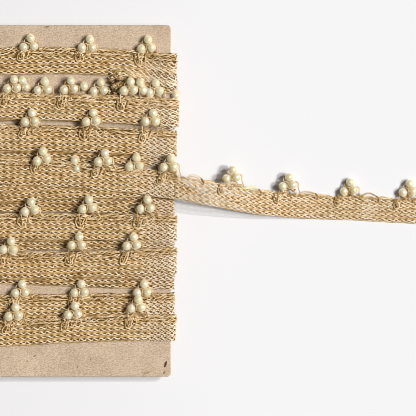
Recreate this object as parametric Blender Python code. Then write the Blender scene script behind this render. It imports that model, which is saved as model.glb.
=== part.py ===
"""Pearl-edged knitted trim wound on a flat greyboard card, with its loose end laid out to the right.

Lengths in the tables are millimetres. X runs along the winding, Y up the card, Z up from the
surface. The origin is below the middle of the whole thing, on the surface.
"""

import math

import bmesh
import bpy
import numpy as np

MM = 0.001

# Card
CARD_WIDTH = 120.0
CARD_HEIGHT = 163.4
CARD_THICK = 2.0
CARD_CORNER = 1.6
CARD_EDGE_ROUNDING = 0.3
CARD_UNDERSIDE = 5.4
CARD_MIDDLE_Z = CARD_UNDERSIDE + CARD_THICK / 2

# Trim: a knitted band with an open looped edge, which carries the pearl clusters
BAND_WIDTH = 12.2
LOOPED_EDGE = 3.2
BAND_THICK = 1.2
LOOPED_EDGE_THICK = 0.7
PEARL_RADIUS = 2.05
CLUSTER_PITCH = 27.3

# Loose end: where it starts, to the right of the card, and its gap to the last turn
TAIL_START = 1.6
TAIL_GAP = 0.3

# Winding: how it lies round the card, and how far its outermost turn stands out past a side
CARD_CLEARANCE = 0.35
BEND_CENTRE_INSET = 0.4
OUTERMOST_LIFT = 2.575
WINDING_BULGE = CARD_THICK / 2 - BEND_CENTRE_INSET + OUTERMOST_LIFT + BAND_THICK

# The loose end stretches as far to the right of the origin as the windings do to the left.
LENGTH_OVERALL = 243.0
CARD_X = WINDING_BULGE + CARD_WIDTH / 2 - LENGTH_OVERALL / 2
CARD_RIGHT = CARD_X + CARD_WIDTH / 2
TAIL_END = LENGTH_OVERALL / 2

# Turns in the order in which they are wound. The four heights are those of the knitted lower edge
# where it passes the card's left side, one third, two thirds and right side. Lifts are how far
# above the card's face the band lies, at the looped edge and at the lower edge, and the last lift
# is that of the pass behind the card which leads to the next turn. Below each pass the wound form
# is filled down to CARD_CLEARANCE.
# name, heights, looped edge lift, lower edge lift, lift behind
TURNS = (
    ("start", (50.4, 50.4, 50.2, 49.7), 0.35, 0.35, 0.37),
    ("low_b", (37.2, 37.0, 36.7, 33.0), 0.36, 0.36, 0.38),
    ("low_c", (18.1, 18.3, 17.4, 15.3), 0.38, 0.38, 0.36),
    ("low_e", (-6.1, -5.6, -5.6, -8.4), 0.35, 0.35, 0.39),
    ("low_f", (-24.2, -23.8, -22.8, -22.4), 0.37, 0.37, 0.35),
    ("low_g", (-38.2, -38.6, -40.0, -41.4), 0.39, 0.39, 0.38),
    ("turn_i", (-56.3, -55.8, -55.4, -54.9), 0.36, 0.36, 0.42),
    ("turn_j", (-69.3, -67.7, -65.6, -65.1), 1.30, 0.55, 1.45),
    ("turn_g", (-36.3, -36.1, -35.6, -33.8), 1.42, 1.45, 1.49),
    ("turn_f", (-17.7, -17.9, -18.2, -18.6), 1.44, 1.47, 1.43),
    ("turn_e", (-1.4, -0.5, 1.0, 1.8), 1.38, 1.42, 1.47),
    ("turn_c", (23.7, 23.4, 22.5, 20.4), 1.10, 1.45, 1.42),
    ("mid_b", (37.6, 37.4, 37.3, 35.6), 1.40, 1.44, 1.45),
    ("turn_a", (58.5, 58.8, 58.9, 56.2), 0.50, 0.90, 2.50),
    ("turn_b", (38.5, 38.1, 36.7, 34.4), 2.10, 2.50, 2.55),
    ("turn_d", (8.8, 7.9, 5.5, 1.1), 2.20, 2.60, 0.0),
)
START_FRACTION = 0.77
LAST_TURN = "turn_d"

# Pearl clusters in front of the card: across from the card's left side, height, lean in degrees
# and height of their middle above the card. Clusters that an upper turn hides are left out.
CLUSTERS = (
    ("turn_a", ((54.5, 72.9, 0), (81.8, 72.4, -6), (109.1, 72.2, 2), (27.0, 73.0, 3)), 2.05),
    ("turn_b", ((46.9, 53.6, 0), (73.3, 53.1, 0), (101.0, 52.6, 0), (19.8, 54.0, -4)), 3.6),
    ("mid_b", ((61.0, 52.8, 0), (87.0, 52.4, 0), (112.8, 52.0, 4), (34.5, 53.4, 2)), 2.1),
    ("turn_c", ((55.3, 38.1, 0), (83.6, 38.2, 0), (111.2, 38.1, -4), (28.2, 38.5, 3)), 5.0),
    ("turn_d", ((60.7, 20.3, 6), (89.1, 19.6, 0), (119.6, 17.0, -4), (33.4, 21.0, -3)), 5.2),
    ("turn_e", ((75.1, 15.6, -8), (103.6, 17.4, 0), (20.0, 17.0, 0)), 3.5),
    ("turn_f", ((55.1, -3.2, 4), (81.8, -2.1, 3), (108.8, -2.1, 0), (27.8, -3.0, 0)), 4.8),
    ("turn_g", ((45.4, -21.3, -6), (77.0, -19.2, -4), (102.4, -19.3, 0), (18.6, -21.0, 3)), 4.9),
    ("turn_i", ((50.6, -41.2, 0), (78.1, -41.1, 0), (107.2, -41.1, 0), (23.4, -41.3, -3)), 2.6),
    ("turn_j", ((47.6, -52.0, 0), (75.1, -51.3, 0), (104.5, -48.3, 0), (20.2, -52.6, 2)), 4.0),
)
BACK_TURNS = ("low_c", "low_f", "turn_i", "turn_g", "turn_e", "turn_a", "turn_b")

# Loose end: across, lower edge height, underside above the surface
TAIL_PATH = (
    (CARD_RIGHT + TAIL_START, 0.9, 10.2),
    (CARD_RIGHT + 8.5, -0.2, 11.7),
    (CARD_RIGHT + 15.5, -1.7, 11.9),
    (CARD_RIGHT + 27.0, -4.0, 9.0),
    (CARD_RIGHT + 41.0, -6.4, 4.9),
    (CARD_RIGHT + 58.0, -7.8, 1.5),
    (CARD_RIGHT + 70.0, -8.4, 0.0),
    (CARD_RIGHT + 84.0, -9.0, 0.0),
    (CARD_RIGHT + 100.0, -9.8, 0.0),
    (TAIL_END, -10.8, 0.0),
)
# Across from the card's right side, height, lean, underside of the pearls above the surface
TAIL_CLUSTERS = (
    (28.6, 12.0, 3, 3.5),
    (54.8, 8.5, 3, 1.9),
    (83.3, 6.1, 3, 0.0),
    (110.9, 5.5, 0, 0.0),
)

# Two lower pearls and one upper, from the middle of a cluster
PEARL_OFFSETS = ((-2.75, -1.55), (1.95, -1.05), (0.45, 2.55))

# A cluster's lump has four points round each pearl and flat tops and bottoms
LOBE_ANGLES = (-80, -28, 28, 80)
FACET_SHARE = 0.55

# A cluster's foot of thread: how far it reaches into the band, its thickness and narrowing
FOOT_DOWN = 2.2
FOOT_THICK = 0.8
FOOT_INSET = 0.9

# Mesh density, and how the passes overlap so that they join into one body
STEPS_FLAT = 5
STEPS_BEND = 2
STEPS_TAIL = 26
FLAT_WITHIN = 0.8
SHARP_ANGLE = 40.0
JOIN_ANGLE = 18.0
BACK_INSET = 0.08
LIFT_BLEND = 0.10


def clear_scene():
    for obj in list(bpy.data.objects):
        bpy.data.objects.remove(obj, do_unlink=True)


def make_material(name, colour, roughness, metallic):
    material = bpy.data.materials.new(name)
    material.use_nodes = True
    shader = material.node_tree.nodes["Principled BSDF"]
    shader.inputs["Base Color"].default_value = (*colour, 1.0)
    shader.inputs["Roughness"].default_value = roughness
    shader.inputs["Metallic"].default_value = metallic
    return material


def new_object(name, points_mm, faces, material=None):
    mesh = bpy.data.meshes.new(name)
    mesh.from_pydata([tuple(c * MM for c in point) for point in points_mm], [], faces)
    mesh.update()
    obj = bpy.data.objects.new(name, mesh)
    bpy.context.scene.collection.objects.link(obj)
    if material:
        mesh.materials.append(material)
    return obj


def through(heights, fraction):
    """The cubic that passes through four heights, at fractions 0, 1/3, 2/3 and 1."""
    stations = (0.0, 1 / 3, 2 / 3, 1.0)
    total = 0.0
    for i, height in enumerate(heights):
        weight = 1.0
        for j, station in enumerate(stations):
            if i != j:
                weight *= (fraction - station) / (stations[i] - station)
        total += weight * height
    return total


def smoothstep(value):
    value = min(max(value, 0.0), 1.0)
    return value * value * (3 - 2 * value)


def half_turn_stations(front):
    """Points round half of the card's section, with the way out there and the fraction across.

    The front half runs left to right and the back half right to left, both from the middle of one
    side's bend to the middle of the other's.
    """
    reach = CARD_WIDTH / 2 - BEND_CENTRE_INSET
    up = 1 if front else -1
    bend = [math.radians(-JOIN_ANGLE)]
    bend += [math.pi / 2 * step / STEPS_BEND for step in range(STEPS_BEND + 1)]
    stations = [(-reach, -math.cos(angle), math.sin(angle)) for angle in bend]
    for step in range(1, STEPS_FLAT):
        stations.append((-reach + 2 * reach * step / STEPS_FLAT, 0.0, 1.0))
    stations += [(reach, math.cos(angle), math.sin(angle)) for angle in reversed(bend)]
    return [
        (CARD_X + up * x, up * out_x, up * out_z, (x + reach) / (2 * reach))
        for x, out_x, out_z in stations
    ]


def on_card(base_x, out_x, out_z, height, lift):
    """The point at a lift above the card's surface, or its rounded edge."""
    reach = CARD_THICK / 2 + lift
    return (base_x + out_x * reach, height, CARD_MIDDLE_Z + out_z * reach)


def band_section(lower_edge, looped_lift, lower_lift, underside, inset=0.0):
    """Height and lift of the band's corners, in order round its section."""
    top = lower_edge + BAND_WIDTH - inset
    knit_top = top - LOOPED_EDGE
    share = LOOPED_EDGE / BAND_WIDTH
    knit_lift = looped_lift + (lower_lift - looped_lift) * share
    return (
        (top, underside),
        (top, looped_lift + LOOPED_EDGE_THICK - inset),
        (knit_top, knit_lift + BAND_THICK - inset),
        (lower_edge + inset, lower_lift + BAND_THICK - inset),
        (lower_edge + inset, underside),
    )


def strip_faces(sections, corners):
    """Faces of a closed strip, with its two ends capped."""
    faces = []
    for i in range(sections - 1):
        for j in range(corners):
            a = i * corners + j
            b = i * corners + (j + 1) % corners
            faces.append((a, b, b + corners, a + corners))
    faces.append(tuple(reversed(range(corners))))
    faces.append(tuple(range((sections - 1) * corners, sections * corners)))
    return faces


def merge_flat_faces(obj):
    """Merge triangles that lie in one plane, which the union leaves in numbers, then split anew."""
    shape = bmesh.new()
    shape.from_mesh(obj.data)
    bmesh.ops.dissolve_limit(
        shape,
        angle_limit=math.radians(FLAT_WITHIN),
        use_dissolve_boundaries=False,
        verts=shape.verts,
        edges=shape.edges,
    )
    bmesh.ops.triangulate(shape, faces=shape.faces)
    shape.to_mesh(obj.data)
    shape.free()


def triangulate_outward(obj):
    shape = bmesh.new()
    shape.from_mesh(obj.data)
    bmesh.ops.triangulate(shape, faces=shape.faces)
    bmesh.ops.recalc_face_normals(shape, faces=shape.faces)
    shape.to_mesh(obj.data)
    shape.free()


def shade_round(mesh):
    mesh.shade_smooth()
    mesh.set_sharp_from_angle(angle=math.radians(SHARP_ANGLE))


def lift_between(fraction, before, along, after):
    """A lift that changes to its neighbours' only round the card's two edges."""
    if fraction < LIFT_BLEND:
        return before + (along - before) * smoothstep(fraction / LIFT_BLEND)
    if fraction > 1 - LIFT_BLEND:
        return after + (along - after) * smoothstep((1 - fraction) / LIFT_BLEND)
    return along


def make_pass(name, front, height_at, lifts):
    """One pass of the band, in front of or behind the card.

    lifts holds those before, along and after the pass, each for the looped and the lower edge.
    """
    points = []
    stations = half_turn_stations(front)
    if front and name.startswith(TURNS[0][0]):
        stations = [station for station in stations if station[3] >= START_FRACTION]
    if front and name.startswith(LAST_TURN):
        stations = [station for station in stations if station[3] < 1.0]
        stations.append((CARD_RIGHT + TAIL_START - TAIL_GAP, 0.0, 1.0, 1.0))
    for base_x, out_x, out_z, fraction in stations:
        looped, lower = (
            lift_between(fraction, lifts[0][edge], lifts[1][edge], lifts[2][edge])
            for edge in (0, 1)
        )
        inset = 0.0 if front else BACK_INSET
        section = band_section(height_at(fraction), looped, lower, CARD_CLEARANCE, inset)
        for height, lift in section:
            points.append(on_card(base_x, out_x, out_z, height, lift))
    corners = len(points) // len(stations)
    obj = new_object(name, points, strip_faces(len(stations), corners))
    triangulate_outward(obj)
    return obj


def middle(first, second):
    return tuple((a + b) / 2 for a, b in zip(first, second))


def make_passes():
    """All passes of the wound trim, each a closed strip that overlaps the next at the bends."""
    passes = []
    for i, (name, heights, looped, lower, behind) in enumerate(TURNS):
        here = (looped, lower)
        back = (behind, behind)
        back_before = (TURNS[i - 1][4],) * 2 if i else here
        last = name == LAST_TURN
        lifts = (middle(back_before, here), here, here if last else middle(here, back))
        passes.append(
            make_pass(name + "_front", True, lambda f, h=heights: through(h, f), lifts)
        )
        if last:
            continue
        _, next_heights, next_looped, next_lower, _ = TURNS[i + 1]
        following = (next_looped, next_lower)
        ends = (heights[3], next_heights[0])
        lifts = (middle(here, back), back, middle(back, following))
        passes.append(
            make_pass(
                name + "_back",
                False,
                lambda f, e=ends: e[0] + (e[1] - e[0]) * smoothstep(f),
                lifts,
            )
        )
    return passes


def pearl_centres(middle_x, middle_y, lean):
    angle = math.radians(lean)
    cos, sin = math.cos(angle), math.sin(angle)
    return [
        (middle_x + dx * cos - dy * sin, middle_y + dx * sin + dy * cos)
        for dx, dy in PEARL_OFFSETS
    ]


def cluster_ring(centres, foot, level, share):
    """A loop round a cluster: four points on each pearl's outer side and two on the foot.

    level is the height above the pearls' middles, and share the part of their radius.
    """
    middle_x = sum(centre[0] for centre in centres) / 3
    middle_y = sum(centre[1] for centre in centres) / 3
    foot_y, foot_z = foot
    ring = []
    for order, (x, y, z) in enumerate(centres):
        outward = math.atan2(y - middle_y, x - middle_x)
        for angle in LOBE_ANGLES:
            around = outward + math.radians(angle)
            ring.append(
                (
                    x + share * PEARL_RADIUS * math.cos(around),
                    y + share * PEARL_RADIUS * math.sin(around),
                    z + level * PEARL_RADIUS,
                )
            )
        if order == 0:
            foot_level = foot_z + level * FOOT_THICK / 2
            ring.append((x + FOOT_INSET, foot_y, foot_level))
            ring.append((centres[1][0] - FOOT_INSET, foot_y, foot_level))
    return ring


def make_clusters(name, clusters):
    """Pearl clusters as lumps of three lobes, each with a foot of thread down to the band.

    Each cluster is its three pearl centres, lower left first and anticlockwise, and the height
    and level of its foot.
    """
    points, faces = [], []
    for centres, foot in clusters:
        rings = [
            cluster_ring(centres, foot, level, share)
            for level, share in ((-1.0, FACET_SHARE), (0.0, 1.0), (1.0, FACET_SHARE))
        ]
        first = len(points)
        count = len(rings[0])
        for ring in rings:
            points += ring
        faces.append(tuple(first + k for k in reversed(range(count))))
        faces.append(tuple(first + 2 * count + k for k in range(count)))
        for low in (first, first + count):
            for k in range(count):
                n = (k + 1) % count
                faces.append((low + k, low + n, low + count + n, low + count + k))
    obj = new_object(name, points, faces)
    triangulate_outward(obj)
    return obj


def turn_named(name):
    return next(turn for turn in TURNS if turn[0] == name)


def front_clusters():
    """(pearl centres, (foot height, foot level)) of each cluster before the card, by turn."""
    found = {}
    for name, places, lift in CLUSTERS:
        _, heights, looped, _, _ = turn_named(name)
        rows = []
        for across, height, lean in places:
            x = CARD_X - CARD_WIDTH / 2 + across
            z = CARD_MIDDLE_Z + CARD_THICK / 2 + lift
            edge = through(heights, across / CARD_WIDTH) + BAND_WIDTH
            foot_z = CARD_MIDDLE_Z + CARD_THICK / 2 + looped + LOOPED_EDGE_THICK / 2
            centres = [(a, b, z) for a, b in pearl_centres(x, height, lean)]
            rows.append((centres, (edge - FOOT_DOWN, foot_z)))
        found[name] = rows
    return found


def back_clusters():
    """Clusters behind the card, a pitch apart, with their pearls down on the surface."""
    found = {}
    names = [turn[0] for turn in TURNS]
    for order, name in enumerate(BACK_TURNS):
        i = names.index(name)
        ends = (TURNS[i][1][3], TURNS[i + 1][1][0])
        behind = TURNS[i][4]
        rows = []
        across = 10.0 + 8.0 * (order % 3)
        while across < CARD_WIDTH - 8.0:
            fraction = 1 - across / CARD_WIDTH
            edge = ends[0] + (ends[1] - ends[0]) * smoothstep(fraction) + BAND_WIDTH
            x = CARD_X - CARD_WIDTH / 2 + across
            centres = [(a, b, PEARL_RADIUS) for a, b in pearl_centres(x, edge + 3.4, 0)]
            foot_z = CARD_UNDERSIDE - behind - LOOPED_EDGE_THICK / 2
            rows.append((centres, (edge - FOOT_DOWN, foot_z)))
            across += CLUSTER_PITCH
        found[name] = rows
    return found


def hide_helper(obj, holder):
    for collection in obj.users_collection:
        collection.objects.unlink(obj)
    holder.objects.link(obj)
    obj.hide_render = True
    obj.display_type = "WIRE"


def unite(name, pieces, material):
    """One closed body from overlapping pieces. The pieces are removed afterwards."""
    holder = bpy.data.collections.new(name + "_pieces")
    bpy.context.scene.collection.children.link(holder)
    body = pieces[0]
    for piece in pieces[1:]:
        hide_helper(piece, holder)
    joining = body.modifiers.new("join", "BOOLEAN")
    joining.operation = "UNION"
    joining.operand_type = "COLLECTION"
    joining.collection = holder
    joining.solver = "EXACT"
    bpy.context.view_layer.update()
    evaluated = body.evaluated_get(bpy.context.evaluated_depsgraph_get())
    mesh = bpy.data.meshes.new_from_object(evaluated)
    body.modifiers.clear()
    body.data = mesh
    mesh.name = name
    body.name = name
    mesh.materials.clear()
    mesh.materials.append(material)
    for piece in list(holder.objects):
        bpy.data.objects.remove(piece, do_unlink=True)
    bpy.data.collections.remove(holder)
    merge_flat_faces(body)
    shade_round(body.data)
    return body


def make_card(material):
    shape = bmesh.new()
    bmesh.ops.create_cube(shape, size=1.0)
    for vertex in shape.verts:
        vertex.co.x *= CARD_WIDTH * MM
        vertex.co.y *= CARD_HEIGHT * MM
        vertex.co.z *= CARD_THICK * MM
    upright = [e for e in shape.edges if abs(e.verts[0].co.z - e.verts[1].co.z) > 0]
    bmesh.ops.bevel(
        shape, geom=upright, offset=CARD_CORNER * MM, segments=4, profile=0.5, affect="EDGES"
    )
    rims = [e for e in shape.edges if abs(e.verts[0].co.z - e.verts[1].co.z) < 1e-9]
    bmesh.ops.bevel(
        shape,
        geom=rims,
        offset=CARD_EDGE_ROUNDING * MM,
        segments=1,
        profile=0.5,
        affect="EDGES",
    )
    bmesh.ops.recalc_face_normals(shape, faces=shape.faces)
    mesh = bpy.data.meshes.new("card")
    shape.to_mesh(mesh)
    shape.free()
    shade_round(mesh)
    mesh.materials.append(material)
    card = bpy.data.objects.new("card", mesh)
    bpy.context.scene.collection.objects.link(card)
    card.location = (CARD_X * MM, 0.0, CARD_MIDDLE_Z * MM)
    return card


def make_wound_trim(material):
    pieces = make_passes()
    for name, rows in front_clusters().items():
        pieces.append(make_clusters(name + "_clusters", rows))
    for name, rows in back_clusters().items():
        pieces.append(make_clusters(name + "_back_clusters", rows))
    return unite("wound_trim", pieces, material)


def smooth_path(across):
    """Lower edge height and underside of the loose end, by a monotone cubic through its path."""
    table = np.array(TAIL_PATH)
    x, values = table[:, 0], table[:, 1:]
    steps = np.diff(x)
    slopes = np.diff(values, axis=0) / steps[:, None]
    tangents = np.zeros_like(values)
    tangents[0], tangents[-1] = slopes[0], slopes[-1]
    for i in range(1, len(x) - 1):
        for j in range(values.shape[1]):
            before, after = slopes[i - 1, j], slopes[i, j]
            if before * after > 0:
                tangents[i, j] = 2 * before * after / (before + after)
    i = int(np.clip(np.searchsorted(x, across) - 1, 0, len(steps) - 1))
    t = (across - x[i]) / steps[i]
    return (
        (1 + 2 * t) * (1 - t) ** 2 * values[i]
        + t * (1 - t) ** 2 * steps[i] * tangents[i]
        + t * t * (3 - 2 * t) * values[i + 1]
        + t * t * (t - 1) * steps[i] * tangents[i + 1]
    )


def make_loose_end(material):
    points = []
    first, last = TAIL_PATH[0][0], TAIL_PATH[-1][0]
    for step in range(STEPS_TAIL + 1):
        x = first + (last - first) * step / STEPS_TAIL
        lower_edge, underside = smooth_path(x)
        for height, lift in band_section(lower_edge, 0.0, 0.0, 0.0):
            points.append((x, height, underside + lift))
    sheet = new_object("loose_end_sheet", points, strip_faces(STEPS_TAIL + 1, 5))
    triangulate_outward(sheet)
    rows = []
    for across, height, lean, underside in TAIL_CLUSTERS:
        x = CARD_RIGHT + across
        lower_edge, edge_level = smooth_path(min(x, TAIL_END))
        z = underside + PEARL_RADIUS
        centres = [(a, b, z) for a, b in pearl_centres(x, height, lean)]
        foot_z = edge_level + LOOPED_EDGE_THICK / 2 + 0.1
        rows.append((centres, (lower_edge + BAND_WIDTH - FOOT_DOWN, foot_z)))
    return unite("loose_end", [sheet, make_clusters("loose_end_clusters", rows)], material)


def main():
    clear_scene()
    board = make_material("greyboard", (0.60, 0.46, 0.33), 0.92, 0.0)
    yarn = make_material("metallic_yarn", (0.56, 0.42, 0.22), 0.42, 0.55)
    make_card(board)
    make_wound_trim(yarn)
    make_loose_end(yarn)


main()
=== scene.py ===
"""Looks of a card wound with pearl-edged knitted trim, over the part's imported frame.

Tables and lengths are in millimetres, as in the part's source. Points become metres when a mesh is
made. A run is one pass of the trim before or behind the card, and its places are measured along
the run, across it from the knitted lower edge, and outwards from its underside.
"""

import math
from collections import namedtuple
from functools import partial

import bpy
import numpy as np
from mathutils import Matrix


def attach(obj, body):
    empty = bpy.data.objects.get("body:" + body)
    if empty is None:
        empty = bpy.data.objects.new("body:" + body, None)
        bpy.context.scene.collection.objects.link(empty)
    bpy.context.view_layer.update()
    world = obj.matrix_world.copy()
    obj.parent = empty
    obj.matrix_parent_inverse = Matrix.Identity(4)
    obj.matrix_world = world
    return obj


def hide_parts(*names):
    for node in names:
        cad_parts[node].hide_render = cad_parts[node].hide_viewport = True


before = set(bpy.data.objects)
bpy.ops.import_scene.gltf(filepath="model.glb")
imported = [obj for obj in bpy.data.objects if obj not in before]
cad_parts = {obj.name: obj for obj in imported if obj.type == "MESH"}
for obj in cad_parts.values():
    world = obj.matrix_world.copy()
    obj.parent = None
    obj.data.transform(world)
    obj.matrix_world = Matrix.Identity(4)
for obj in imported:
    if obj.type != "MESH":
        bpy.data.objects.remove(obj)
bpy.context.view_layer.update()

MM = 0.001
METRE = 1000
# The marks of a tube count the way along it in this length
MARK_LENGTH = 10

# Card and winding, as in the part's source
CARD_WIDTH = 120.0
CARD_THICK = 2.0
CARD_MIDDLE_Z = 6.4
CARD_TOP = CARD_MIDDLE_Z + CARD_THICK / 2
BAND_WIDTH = 12.2
BAND_THICK = 1.2
PEARL_RADIUS = 2.05
CLUSTER_PITCH = 27.3
TAIL_START = 1.6
BEND_CENTRE_INSET = 0.4
OUTERMOST_LIFT = 2.575
WINDING_BULGE = CARD_THICK / 2 - BEND_CENTRE_INSET + OUTERMOST_LIFT + BAND_THICK
LENGTH_OVERALL = 243.0
CARD_X = WINDING_BULGE + CARD_WIDTH / 2 - LENGTH_OVERALL / 2
CARD_LEFT = CARD_X - CARD_WIDTH / 2
CARD_RIGHT = CARD_X + CARD_WIDTH / 2
TAIL_END = LENGTH_OVERALL / 2
LIFT_BLEND = 0.10
START_FRACTION = 0.77

# A turn's lower edge heights at four places across the card, and how far the looped edge, the lower
# edge and the pass behind the card are lifted off it
Turn = namedtuple("Turn", "name heights looped_lift lower_lift back_lift")
TURNS = (
    Turn("start", (50.4, 50.4, 50.2, 49.7), 0.35, 0.35, 0.37),
    Turn("low_b", (37.2, 37.0, 36.7, 33.0), 0.36, 0.36, 0.38),
    Turn("low_c", (18.1, 18.3, 17.4, 15.3), 0.38, 0.38, 0.36),
    Turn("low_e", (-6.1, -5.6, -5.6, -8.4), 0.35, 0.35, 0.39),
    Turn("low_f", (-24.2, -23.8, -22.8, -22.4), 0.37, 0.37, 0.35),
    Turn("low_g", (-38.2, -38.6, -40.0, -41.4), 0.39, 0.39, 0.38),
    Turn("turn_i", (-56.3, -55.8, -55.4, -54.9), 0.36, 0.36, 0.42),
    Turn("turn_j", (-69.3, -67.7, -65.6, -65.1), 1.30, 0.55, 1.45),
    Turn("turn_g", (-36.3, -36.1, -35.6, -33.8), 1.42, 1.45, 1.49),
    Turn("turn_f", (-17.7, -17.9, -18.2, -18.6), 1.44, 1.47, 1.43),
    Turn("turn_e", (-1.4, -0.5, 1.0, 1.8), 1.38, 1.42, 1.47),
    Turn("turn_c", (23.7, 23.4, 22.5, 20.4), 1.10, 1.45, 1.42),
    Turn("mid_b", (37.6, 37.4, 37.3, 35.6), 1.40, 1.44, 1.45),
    Turn("turn_a", (58.5, 58.8, 58.9, 56.2), 0.50, 0.90, 2.50),
    Turn("turn_b", (38.5, 38.1, 36.7, 34.4), 2.10, 2.50, 2.55),
    Turn("turn_d", (8.8, 7.9, 5.5, 1.1), 2.20, 2.60, 0.0),
)
UPPER_TURNS = ("turn_a", "turn_b", "turn_c", "turn_d")
UNDER_TURNS = ("start", "low_b", "low_c", "low_e", "low_f", "low_g", "mid_b")
FANNED_TURN = "turn_a"

# Pearl clusters by turn: their level over the card, and each one's place across from the card's left
# side, height and lean
CLUSTERS = {
    "turn_a": (2.05, ((54.5, 72.9, 0), (81.8, 72.4, -6), (109.1, 72.2, 2), (27.0, 73.0, 3))),
    "turn_b": (3.6, ((46.9, 53.6, 0), (73.3, 53.1, 0), (101.0, 52.6, 0), (19.8, 54.0, -4))),
    "mid_b": (2.1, ((61.0, 52.8, 0), (87.0, 52.4, 0), (112.8, 52.0, 4), (34.5, 53.4, 2))),
    "turn_c": (5.0, ((55.3, 38.1, 0), (83.6, 38.2, 0), (111.2, 38.1, -4), (28.2, 38.5, 3))),
    "turn_d": (5.2, ((60.7, 20.3, 6), (89.1, 19.6, 0), (119.6, 17.0, -4), (33.4, 21.0, -3))),
    "turn_e": (3.5, ((103.6, 17.4, 0), (20.0, 17.0, 0))),
    "turn_f": (4.8, ((55.1, -3.2, 4), (81.8, -2.1, 3), (108.8, -2.1, 0), (27.8, -3.0, 0))),
    "turn_g": (4.9, ((45.4, -21.3, -6), (77.0, -19.2, -4), (102.4, -19.3, 0), (18.6, -21.0, 3))),
    "turn_i": (2.6, ((50.6, -41.2, 0), (78.1, -41.1, 0), (107.2, -41.1, 0), (23.4, -41.3, -3))),
    "turn_j": (4.0, ((47.6, -52.0, 0), (75.1, -51.3, 0), (104.5, -48.3, 0), (20.2, -52.6, 2))),
}
# Pearls that show singly, from clusters pressed under the turns above them: across, up and level
LONE_PEARLS = (
    (-66.0, 55.75, 2.3),
    (-64.3, 52.95, 2.2),
    (-37.35, 53.2, 2.9),
    (-11.26, 54.8, 2.9),
    (-9.8, 51.3, 3.0),
    (5.2, 49.0, 0.6),
    (-41.7, 18.7, 2.5),
    (-40.7, 14.9, 1.9),
    (-44.4, 15.6, 1.0),
)
LONE_RADIUS = PEARL_RADIUS * 0.97
# The threads round them: how far they turn, their radius, and their level from the pearl's middle
RING_TURN = 2.4
RING_RADIUS = 2.25
RING_LEVEL = -0.5
# Clusters behind the card: the turns that have them, where the first one is and how it shifts from
# one such turn to the next, and how far they keep from the card's side and stand over the band
BACK_TURNS = ("low_c", "low_f", "turn_i", "turn_g", "turn_e", "turn_a", "turn_b")
BACK_FIRST = 10.0
BACK_SHIFT = 8.0
BACK_SHIFTS = 3
BACK_MARGIN = 8.0
BACK_RISE = 3.4
# A cluster's three pearls, from its middle
PEARL_OFFSETS = ((-2.75, -1.55), (1.95, -1.05), (0.45, 2.55))

# Segments and rings of a pearl, and steps and sides of a thread, before the card and behind it
FINE_BALL = (28, 16)
COARSE_BALL = (12, 8)
FINE_THREAD = (5, 5)
COARSE_THREAD = (3, 4)

# Loose end: across, lower edge height, underside above the surface
TAIL_PATH = (
    (CARD_RIGHT + TAIL_START, 0.9, 10.2),
    (CARD_RIGHT + 8.5, -0.2, 10.7),
    (CARD_RIGHT + 15.5, -1.7, 10.8),
    (CARD_RIGHT + 27.0, -4.0, 8.7),
    (CARD_RIGHT + 41.0, -6.4, 4.9),
    (CARD_RIGHT + 58.0, -7.8, 1.5),
    (CARD_RIGHT + 70.0, -8.4, 0.0),
    (CARD_RIGHT + 84.0, -9.0, 0.0),
    (CARD_RIGHT + 100.0, -9.8, 0.0),
    (TAIL_END, -10.8, 0.0),
)
# Its clusters: across from the card's right side, height, lean, and the level of their undersides
TAIL_CLUSTERS = (
    (28.6, 12.0, 3, 3.5),
    (54.8, 8.5, 3, 1.9),
    (83.3, 6.1, 3, 0.0),
    (110.9, 5.5, 0, 0.0),
)
TAIL_SAMPLES = 800
# Over this length it comes from the last turn's level to its own
TAIL_JOIN = 10.0

# Knit: rows of loop heads that wave along the band, with laid-in yarns between the rows
STITCH = 3.2
STITCH_RANGE = (0.96, 1.05)
TAIL_STITCH = 3.05
ROWS = (1.15, 3.30, 5.45, 7.60)
TAIL_ROWS = (*ROWS, 9.55)
FAN_ROWS = (2.22, 6.52)
ROW_SWING = 0.40
HEAD_SQUARENESS = 1.1
HEAD_LEVEL = 0.84
HEAD_DIP = 0.12
HEAD_RADIUS = 0.30
HEAD_FLATNESS = 0.65
# Painted light and shade: heads are lighter on their falling slopes, which catch the lamps, darker on
# rising ones
HEAD_SHADE = 0.79
HEAD_SHADE_SWING = 0.17
HEAD_PAINTED_LIGHT = 0.3
INLAYS = (-0.80, 0.80)
INLAY_SWING = 0.05
INLAY_LEVEL = 0.52
INLAY_RADIUS = 0.37
# Painted shade: the laid-in yarns, which lie lower, are darker than the heads, and it ripples along
# them
INLAY_SHADE = 0.56
INLAY_SHADE_SWING = 0.12
# Where more light is painted on the yarn, the laid-in yarns ripple more and are thinner
INLAY_RIPPLE = 1.3
INLAY_THINNING = 0.4
# How far the loop heads slant at the card's left, at its right and beyond, and behind it
SLANTS = (0.15, 0.45, 0.95)
BACK_SLANTS = (0.3, 0.3)
KNIT_TOP = 10.4

# Painted light: how much lighter the yarn is at the card's right side, and along the loose end and near
# the card
EDGE_PAINTED_LIGHT = 0.30
EDGE_PAINTED_LIGHT_FROM = 0.80
EDGE_PAINTED_LIGHT_OVER = 0.14
TAIL_PAINTED_LIGHT = 0.13
TAIL_PAINTED_LIGHT_RAISED = 0.06
TAIL_PAINTED_LIGHT_TO = 0.40
TAIL_PAINTED_LIGHT_OVER = 0.30

# Looped edge: slack chains of two strands, and single strands between them
CHAINS = (9.75, 11.45)
FILLERS = (8.85, 10.6, 11.8)
TAIL_CHAINS = (10.55,)
CHAIN_RADIUS = 0.28
CHAIN_OPENING = 0.55
CHAIN_CROSSING = 2.5
CHAIN_LEVEL = 0.82
CHAIN_LIFT = 0.14
# Painted shade: a chain strand darkens where it dips under the other, and the lower single strands are
# darker
CHAIN_SHADE = 0.70
FILLER_SWING = 0.3
FILLER_RATE = 2.4
FILLER_LEVEL = 0.60
FILLER_SHADE = 0.58
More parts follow.
